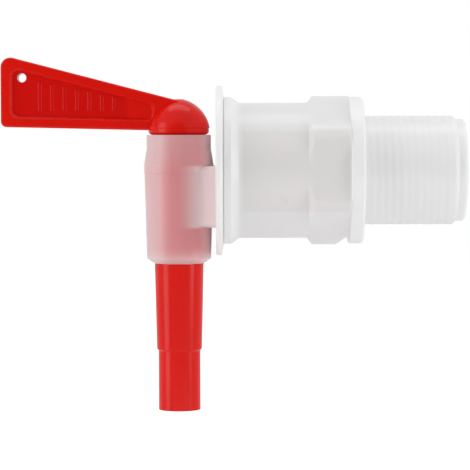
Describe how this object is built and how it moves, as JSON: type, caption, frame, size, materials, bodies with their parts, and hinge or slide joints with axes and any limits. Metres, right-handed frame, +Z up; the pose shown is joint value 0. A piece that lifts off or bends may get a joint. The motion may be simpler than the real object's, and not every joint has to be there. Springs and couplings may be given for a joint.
{
  "type": "fermenter spigot",
  "caption": "Plastic quarter-turn tap with a red lever plug and down-pointing spout, a thin dished flange and a hexagon adapter with a male pipe thread for a vessel wall.",
  "frame": {"origin": "on the thread's axis, at the adapter's sealing face that meets the vessel", "axes": "+X along the thread into the vessel, +Z up, lever towards -X when open"},
  "size_m": [0.1123, 0.0412, 0.0858],
  "materials": {
    "red_plastic": "smooth glossy moulding",
    "clear_plastic": "uncoloured translucent moulding, satin",
    "washer_rubber": "smooth pale silicone seal",
    "white_plastic": "milky white moulding, satin"
  },
  "bodies": {
    "body": {"adapter": "white_plastic", "seal_washer": "washer_rubber", "tap_body": "clear_plastic"},
    "plug": {"lever_plug": "red_plastic"}
  },
  "joints": [
    {"name": "lever_turn", "type": "hinge", "parent": "body", "child": "plug", "pos_m": [-0.04465, 0, 0], "axis": [0, 0, 1], "range_deg": [-90, 90]}
  ]
}
